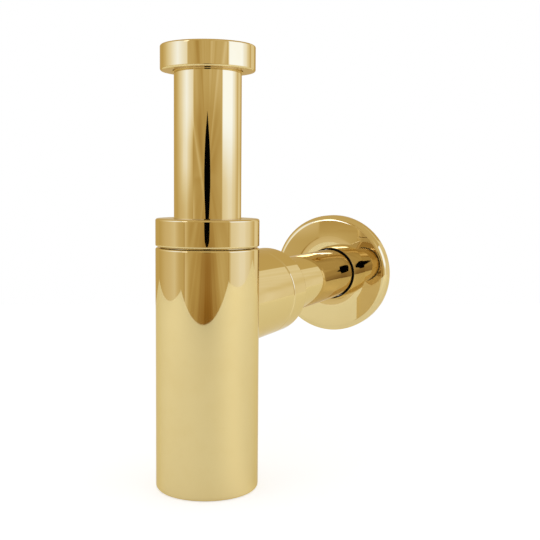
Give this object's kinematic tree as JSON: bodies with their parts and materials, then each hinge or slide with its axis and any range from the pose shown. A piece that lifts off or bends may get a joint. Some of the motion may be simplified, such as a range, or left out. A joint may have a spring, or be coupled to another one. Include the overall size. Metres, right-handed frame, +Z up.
{
  "type": "bottle trap",
  "caption": "Round basin bottle trap: inlet nut and dip tube, cylindrical bottle with a collar nut, side outlet with a nut and plain pipe, and a round wall flange.",
  "frame": {"origin": "centre of the inlet washer's upper face, where the basin waste lands in the inlet nut", "axes": "+Z up along the inlet tube, +Y along the outlet pipe towards the wall"},
  "size_m": [0.0768, 0.2688, 0.2118],
  "materials": {
    "gold_brass": "mirror polished gold",
    "black_rubber": "matt moulded",
    "white_plastic": "moulded, slightly waxy"
  },
  "bodies": {
    "inlet": {"inlet_nut": "gold_brass", "inlet_washer": "black_rubber"},
    "inlet_tube": {"inlet_tube": "gold_brass"},
    "bottle": {"bottle_body": "gold_brass", "collar_seal": "black_rubber", "outlet_seal": "black_rubber"},
    "collar_ring": {"collar_slip_ring": "white_plastic"},
    "collar_nut": {"collar_nut": "gold_brass"},
    "outlet_ring": {"outlet_slip_ring": "white_plastic"},
    "outlet_nut": {"outlet_nut": "gold_brass"},
    "outlet_pipe": {"outlet_pipe": "gold_brass"},
    "wall_flange": {"wall_flange": "gold_brass", "flange_ring": "black_rubber"}
  },
  "joints": [
    {"name": "tube_swivel", "type": "hinge", "parent": "inlet", "child": "inlet_tube", "pos_m": [0, 0, 0], "axis": [0, 0, 1], "continuous": true},
    {"name": "bottle_height", "type": "slide", "parent": "inlet_tube", "child": "bottle", "axis": [0, 0, 1], "range_m": [-0.045, 0.015]},
    {"name": "collar_lift", "type": "slide", "parent": "bottle", "child": "collar_ring", "axis": [0, 0, 1], "range_m": [0, 0.0075]},
    {"name": "collar_turn", "type": "hinge", "parent": "collar_ring", "child": "collar_nut", "pos_m": [0, 0, -0.08115], "axis": [0, 0, 1], "range_deg": [0, 1800]},
    {"name": "outlet_nut_travel", "type": "slide", "parent": "bottle", "child": "outlet_ring", "axis": [0, 1, 0], "range_m": [0, 0.012]},
    {"name": "outlet_nut_turn", "type": "hinge", "parent": "outlet_ring", "child": "outlet_nut", "pos_m": [0, 0.0673, -0.11645], "axis": [0, 1, 0], "range_deg": [0, 2880]},
    {"name": "pipe_depth", "type": "slide", "parent": "bottle", "child": "outlet_pipe", "axis": [0, 1, 0], "range_m": [-0.0025, 0.01]},
    {"name": "flange_slide", "type": "slide", "parent": "outlet_pipe", "child": "wall_flange", "axis": [0, 1, 0], "range_m": [-0.09, 0.025]}
  ],
  "couplings": [
    {"joint": "collar_lift", "follows": "collar_turn", "m_per_rad": 0.00023873},
    {"joint": "outlet_nut_travel", "follows": "outlet_nut_turn", "m_per_rad": 0.00023873}
  ]
}
